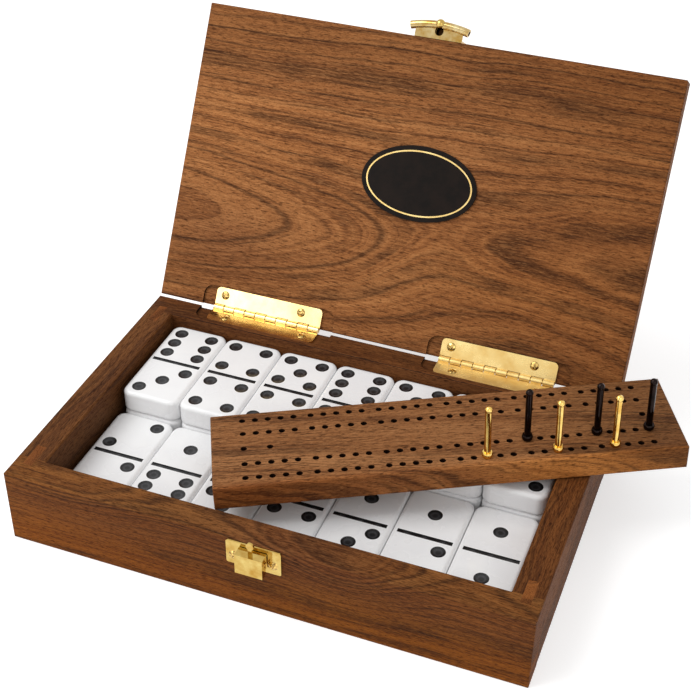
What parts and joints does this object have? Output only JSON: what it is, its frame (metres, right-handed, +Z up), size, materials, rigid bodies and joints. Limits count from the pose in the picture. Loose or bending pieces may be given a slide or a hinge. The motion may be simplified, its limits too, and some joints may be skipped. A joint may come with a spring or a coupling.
{
  "type": "domino storage box",
  "caption": "Low hardwood tray with a hinged flat lid and snap latch, two rows of dominoes inside and a pegged scoring board leaning across it.",
  "frame": {"origin": "centre of the tray's footprint, on the surface it stands on", "axes": "+X to the right along the front, +Y from the front to the hinges, +Z up"},
  "size_m": [0.2675, 0.2332, 0.1703],
  "materials": {
    "walnut": "satin oiled walnut with dark streaks",
    "brass": "polished brass",
    "spring_steel": "bright drawn wire",
    "black_metal": "polished black plating",
    "domino": "polished white with black pips",
    "badge": "plain dark satin enamel, no marking",
    "ring": "satin brass line"
  },
  "bodies": {
    "tray": {"front_wall": "walnut", "back_wall": "walnut", "left_wall": "walnut", "right_wall": "walnut", "bottom_panel": "walnut", "corner_keys": "walnut", "left_lower_leaf": "brass", "right_lower_leaf": "brass", "left_hinge_pin": "brass", "right_hinge_pin": "brass", "lower_leaf_screws": "brass", "latch_plate": "brass", "latch_pin": "brass", "latch_spring": "spring_steel", "latch_screws": "brass", "back_tile_3": "domino", "back_tile_4": "domino", "back_tile_5": "domino", "back_tile_6": "domino", "back_tile_7": "domino", "under_tile_1": "domino", "under_tile_2": "domino", "under_tile_3": "domino", "under_tile_4": "domino", "under_tile_5": "domino", "under_tile_6": "domino", "under_tile_7": "domino", "front_tile_2": "domino", "front_tile_3": "domino", "front_tile_4": "domino", "front_tile_5": "domino", "front_tile_6": "domino", "front_tile_7": "domino"},
    "lid": {"lid_panel": "walnut", "badge_plate": "badge", "badge_ring": "ring", "left_upper_leaf": "brass", "right_upper_leaf": "brass", "upper_leaf_screws": "brass", "catch_plate": "brass", "catch_boss": "brass", "catch_screws": "brass"},
    "latch_lever": {"latch_lever": "brass"},
    "scoring_board": {"scoring_board": "walnut"},
    "gold_peg_1": {"gold_peg_1": "brass"},
    "gold_peg_2": {"gold_peg_2": "brass"},
    "gold_peg_3": {"gold_peg_3": "brass"},
    "black_peg_1": {"black_peg_1": "black_metal"},
    "black_peg_2": {"black_peg_2": "black_metal"},
    "black_peg_3": {"black_peg_3": "black_metal"},
    "back_tile_1": {"back_tile_1": "domino"},
    "back_tile_2": {"back_tile_2": "domino"},
    "front_tile_1": {"front_tile_1": "domino"}
  },
  "joints": [
    {"name": "lid_hinge", "type": "hinge", "parent": "tray", "child": "lid", "pos_m": [0, 0.0725, 0.0368], "axis": [-1, 0, 0], "range_deg": [-120, 0]},
    {"name": "board_draw", "type": "slide", "parent": "tray", "child": "scoring_board", "axis": [0.9982, 0, 0.0599], "range_m": [0, 0.2005]},
    {"name": "latch_press", "type": "hinge", "parent": "tray", "child": "latch_lever", "pos_m": [0, -0.0753, 0.0282], "axis": [1, 0, 0], "range_deg": [0, 5], "stiffness_Nm_per_rad": 0.05},
    {"name": "gold_peg_1_lift", "type": "slide", "parent": "scoring_board", "child": "gold_peg_1", "axis": [-0.0417, -0.0074, 0.9991], "range_m": [0, 0.02]},
    {"name": "gold_peg_2_lift", "type": "slide", "parent": "scoring_board", "child": "gold_peg_2", "axis": [-0.0417, -0.0074, 0.9991], "range_m": [0, 0.02]},
    {"name": "gold_peg_3_lift", "type": "slide", "parent": "scoring_board", "child": "gold_peg_3", "axis": [-0.0417, -0.0074, 0.9991], "range_m": [0, 0.02]},
    {"name": "black_peg_1_lift", "type": "slide", "parent": "scoring_board", "child": "black_peg_1", "axis": [-0.0417, -0.0074, 0.9991], "range_m": [0, 0.02]},
    {"name": "black_peg_2_lift", "type": "slide", "parent": "scoring_board", "child": "black_peg_2", "axis": [-0.0417, -0.0074, 0.9991], "range_m": [0, 0.02]},
    {"name": "black_peg_3_lift", "type": "slide", "parent": "scoring_board", "child": "black_peg_3", "axis": [-0.0417, -0.0074, 0.9991], "range_m": [0, 0.02]},
    {"name": "back_tile_1_lift", "type": "slide", "parent": "tray", "child": "back_tile_1", "axis": [0, 0, 1], "range_m": [0, 0.03]},
    {"name": "back_tile_2_lift", "type": "slide", "parent": "tray", "child": "back_tile_2", "axis": [0, 0, 1], "range_m": [0, 0.03]},
    {"name": "front_tile_1_lift", "type": "slide", "parent": "tray", "child": "front_tile_1", "axis": [0, 0, 1], "range_m": [0, 0.03]}
  ],
  "couplings": [
    {"joint": "board_draw", "follows": "lid_hinge", "m_per_rad": -0.09549}
  ]
}
